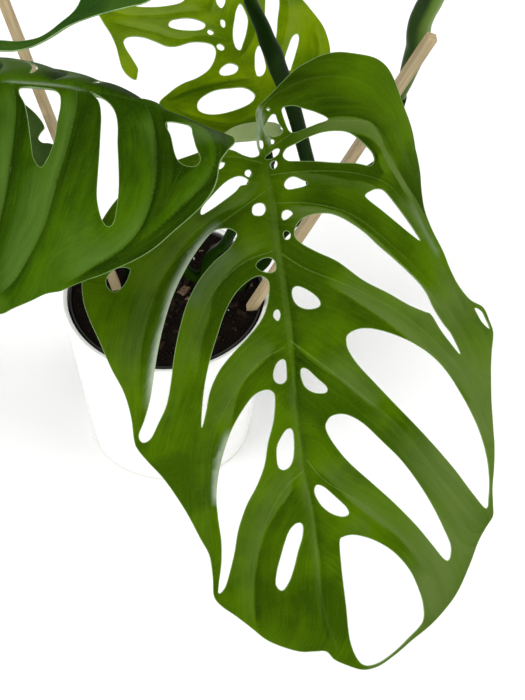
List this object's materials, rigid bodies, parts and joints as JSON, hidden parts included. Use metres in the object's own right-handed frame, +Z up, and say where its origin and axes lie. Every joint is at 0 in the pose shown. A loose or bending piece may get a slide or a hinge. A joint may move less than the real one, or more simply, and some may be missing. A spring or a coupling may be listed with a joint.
{
  "type": "potted monstera plant",
  "caption": "Potted climbing houseplant with large slotted leaves, holes along the midribs, square wooden stakes and a plain white cover pot.",
  "frame": {"origin": "middle of the cover pot's underside, on the floor", "axes": "+Z up along the pot's axis, -Y towards the side that the big front leaf hangs down on, +X towards the new rolled leaf"},
  "size_m": [0.5432, 0.6372, 0.6589],
  "materials": {
    "white_glaze": "gloss",
    "black_plastic": "satin",
    "soil": "matte",
    "pale_wood": "matte",
    "stem_green": "satin",
    "leaf_green": "satin",
    "young_green": "satin"
  },
  "bodies": {
    "root": {"cover_pot": "white_glaze", "nursery_pot": "black_plastic", "soil": "soil", "stake_left": "pale_wood", "stake_right": "pale_wood", "stem_right": "stem_green", "stem_middle": "stem_green", "stem_left": "stem_green", "leaf_front": "leaf_green", "leaf_left": "leaf_green", "leaf_back": "young_green", "leaf_upper": "leaf_green", "leaf_low": "leaf_green", "leaf_new": "young_green"}
  },
  "joints": []
}
